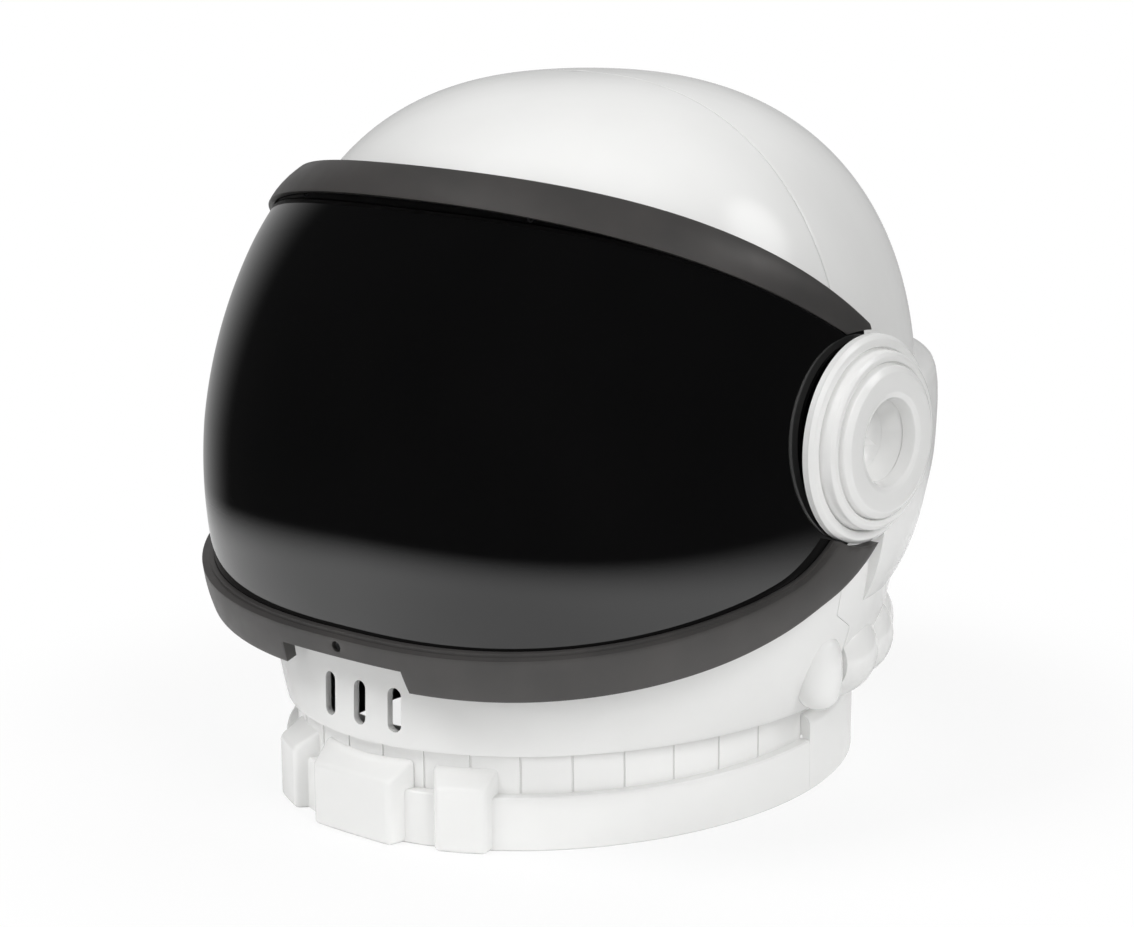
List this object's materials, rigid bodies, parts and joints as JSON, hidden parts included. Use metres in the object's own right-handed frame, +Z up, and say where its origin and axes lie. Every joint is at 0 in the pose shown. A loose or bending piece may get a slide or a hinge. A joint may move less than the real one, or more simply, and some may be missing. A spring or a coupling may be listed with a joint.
{
  "type": "astronaut helmet",
  "caption": "White astronaut helmet with a dark tinted visor that swings up on two ear knobs, a satin brim and chin band, and a collar.",
  "frame": {"origin": "centre of the helmet's plan, on the surface that the collar rests on", "axes": "+Z up, -Y the way the face looks, +X the wearer's left"},
  "size_m": [0.3222, 0.3158, 0.2984],
  "materials": {
    "shell_white": "gloss white moulded plastic",
    "visor_tint": "deep smoke tint, polished",
    "frame_grey": "satin dark grey",
    "hub_black": "matt black",
    "washer": "matt",
    "screw_steel": "zinc plated",
    "screw_dark": "black",
    "pad": "soft knitted cover over foam"
  },
  "bodies": {
    "shell": {"front_shell": "shell_white", "rear_shell": "shell_white", "front_collar": "shell_white", "rear_collar": "shell_white", "left_ear_hub": "hub_black", "right_ear_hub": "hub_black", "left_ear_knob": "shell_white", "right_ear_knob": "shell_white", "left_friction_washer": "washer", "right_friction_washer": "washer", "left_hub_screws": "screw_steel", "right_hub_screws": "screw_steel", "left_knob_screws": "screw_steel", "right_knob_screws": "screw_steel", "shell_screws": "screw_steel", "collar_screws": "screw_steel", "crown_pad": "pad", "nape_pad": "pad"},
    "visor": {"visor_lens": "visor_tint", "visor_brim": "frame_grey", "visor_chin_band": "frame_grey", "brim_screws": "screw_dark", "chin_screw": "screw_dark"}
  },
  "joints": [
    {"name": "visor_hinge", "type": "hinge", "parent": "shell", "child": "visor", "pos_m": [0, -0.00408, 0.16], "axis": [-1, 0, 0], "range_deg": [0, 50]}
  ]
}
